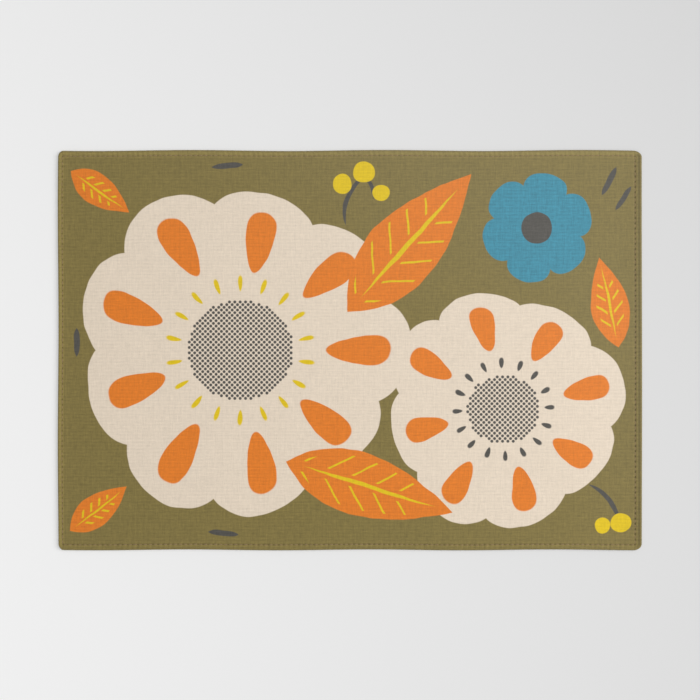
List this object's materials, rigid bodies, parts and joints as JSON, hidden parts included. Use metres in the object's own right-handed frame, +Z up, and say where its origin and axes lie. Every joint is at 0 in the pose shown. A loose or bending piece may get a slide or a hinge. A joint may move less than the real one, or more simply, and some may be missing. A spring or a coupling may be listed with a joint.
{
  "type": "rug",
  "caption": "Small rectangular flat-woven floor rug with rounded corners and a narrow turned hem, stitched down all the way round.",
  "frame": {"origin": "middle of the underside, on the floor", "axes": "+X along the rug's length, +Y across its width towards the picture's top edge, +Z up out of the printed face"},
  "size_m": [0.9058, 0.6204, 0.0038],
  "materials": {
    "woven_cloth": "matt slubby plain weave with a printed face: olive ground with cream, orange, blue, yellow and charcoal shapes"
  },
  "bodies": {
    "root": {"rug": "woven_cloth"}
  },
  "joints": []
}
